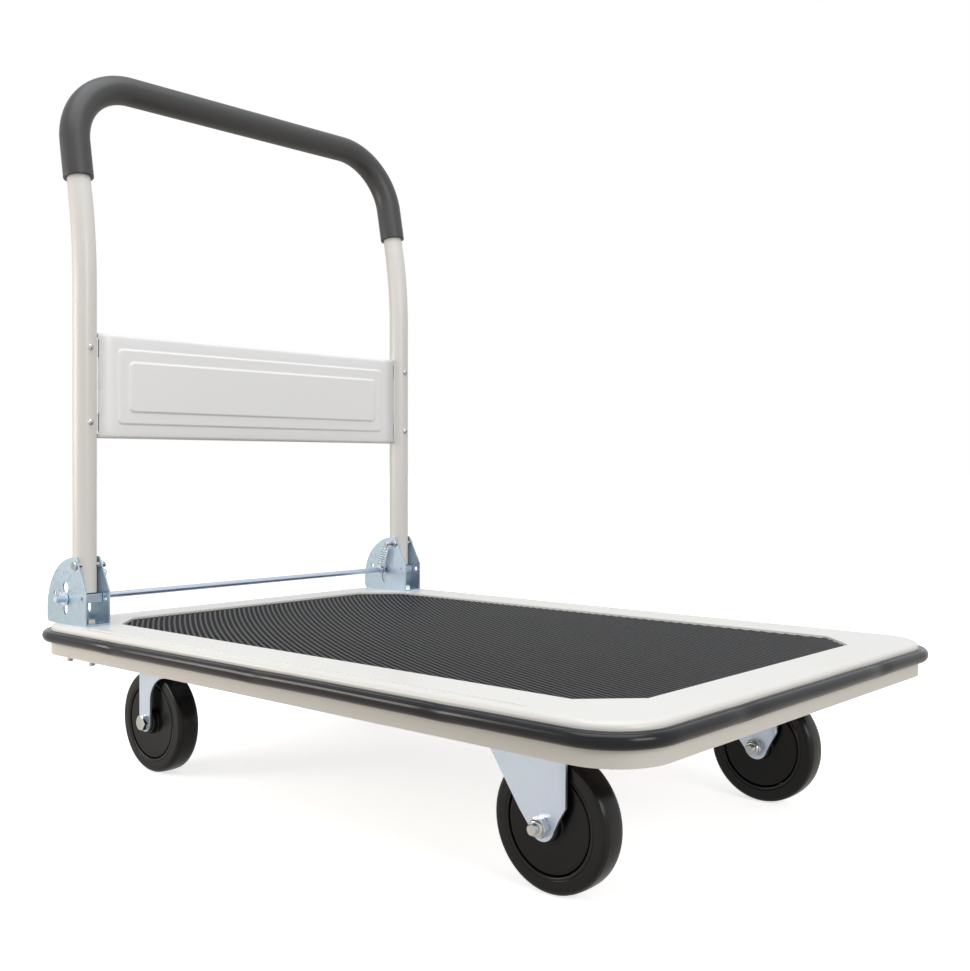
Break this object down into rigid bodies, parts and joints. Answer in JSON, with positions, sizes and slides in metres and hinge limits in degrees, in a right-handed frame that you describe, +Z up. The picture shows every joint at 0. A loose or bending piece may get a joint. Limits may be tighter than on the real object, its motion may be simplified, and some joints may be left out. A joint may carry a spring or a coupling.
{
  "type": "folding platform cart",
  "caption": "Steel platform cart with a ribbed mat, a rubber bumper, a push handle that unlocks by a foot rod and folds flat, and two fixed and two swivelling casters.",
  "frame": {"origin": "on the floor under the centre of the deck, at the middle of the bounding box's base", "axes": "+X forward, away from the handle; +Y to the left of a person pushing; +Z up from the floor"},
  "size_m": [0.911, 0.621, 0.885],
  "materials": {
    "deck_paint": "satin cream white powder coat on steel",
    "handle_paint": "satin cream white powder coat on steel",
    "mat": "matt black, ribbed, with pale worn rib tops",
    "bumper": "dark grey, slightly shiny",
    "grip": "satin dark grey",
    "tyre": "satin black",
    "hub": "satin black",
    "zinc_plate": "pale blue-grey zinc plate",
    "bright_steel": "bright plated steel",
    "spring_wire": "plated spring wire",
    "ball_steel": "polished"
  },
  "bodies": {
    "chassis": {"deck_shell": "deck_paint", "bearer_front": "deck_paint", "bearer_rear": "deck_paint", "stringer_left": "deck_paint", "stringer_right": "deck_paint", "deck_mat": "mat", "bumper": "bumper", "hinge_bracket_left": "zinc_plate", "hinge_bracket_right": "zinc_plate", "bracket_support_left": "deck_paint", "bracket_support_right": "deck_paint", "bracket_bolts": "bright_steel", "bracket_nuts": "bright_steel", "pivot_pins": "bright_steel", "spring_studs": "bright_steel", "spring_left": "spring_wire", "spring_right": "spring_wire", "rigid_fork_left": "zinc_plate", "rigid_fork_right": "zinc_plate", "swivel_plate_left": "zinc_plate", "swivel_plate_right": "zinc_plate", "kingpins": "bright_steel", "kingpin_nuts": "bright_steel", "caster_bolts": "bright_steel", "caster_nuts": "bright_steel", "rigid_sleeves": "bright_steel", "rigid_axle_bolts": "bright_steel", "rigid_axle_nuts": "bright_steel"},
    "handle": {"handle_tube": "handle_paint", "handle_grip": "grip", "handle_panel": "handle_paint", "panel_screws": "bright_steel"},
    "release": {"release_rod": "zinc_plate", "lock_plate_left": "zinc_plate", "lock_plate_right": "zinc_plate", "spring_collars": "zinc_plate", "rod_washers": "zinc_plate", "rod_cotters": "bright_steel"},
    "swivel_left": {"swivel_fork_left": "zinc_plate", "swivel_balls_left": "ball_steel", "swivel_sleeve_left": "bright_steel", "swivel_axle_bolt_left": "bright_steel", "swivel_axle_nut_left": "bright_steel"},
    "wheel_rigid_left": {"tyre_rigid_left": "tyre", "hub_rigid_left": "hub"},
    "wheel_swivel_left": {"tyre_swivel_left": "tyre", "hub_swivel_left": "hub"},
    "swivel_right": {"swivel_fork_right": "zinc_plate", "swivel_balls_right": "ball_steel", "swivel_sleeve_right": "bright_steel", "swivel_axle_bolt_right": "bright_steel", "swivel_axle_nut_right": "bright_steel"},
    "wheel_rigid_right": {"tyre_rigid_right": "tyre", "hub_rigid_right": "hub"},
    "wheel_swivel_right": {"tyre_swivel_right": "tyre", "hub_swivel_right": "hub"}
  },
  "joints": [
    {"name": "handle_fold", "type": "hinge", "parent": "chassis", "child": "handle", "pos_m": [-0.374, 0, 0.2585], "axis": [0, 1, 0], "range_deg": [0, 99]},
    {"name": "release_press", "type": "slide", "parent": "chassis", "child": "release", "axis": [0, 0, -1], "range_m": [0, 0.014], "stiffness_N_per_m": 800, "springref_m": -0.015, "deforming": ["spring_left", "spring_right"]},
    {"name": "swivel_left_turn", "type": "hinge", "parent": "chassis", "child": "swivel_left", "pos_m": [-0.298, 0.1925, 0.12], "axis": [0, 0, 1], "continuous": true},
    {"name": "swivel_right_turn", "type": "hinge", "parent": "chassis", "child": "swivel_right", "pos_m": [-0.298, -0.1925, 0.12], "axis": [0, 0, 1], "continuous": true},
    {"name": "wheel_rigid_left_spin", "type": "hinge", "parent": "chassis", "child": "wheel_rigid_left", "pos_m": [0.294, 0.1925, 0.0635], "axis": [0, 1, 0], "continuous": true},
    {"name": "wheel_rigid_right_spin", "type": "hinge", "parent": "chassis", "child": "wheel_rigid_right", "pos_m": [0.294, -0.1925, 0.0635], "axis": [0, 1, 0], "continuous": true},
    {"name": "wheel_swivel_left_spin", "type": "hinge", "parent": "swivel_left", "child": "wheel_swivel_left", "pos_m": [-0.333, 0.1925, 0.0635], "axis": [0, 1, 0], "continuous": true},
    {"name": "wheel_swivel_right_spin", "type": "hinge", "parent": "swivel_right", "child": "wheel_swivel_right", "pos_m": [-0.333, -0.1925, 0.0635], "axis": [0, 1, 0], "continuous": true}
  ]
}
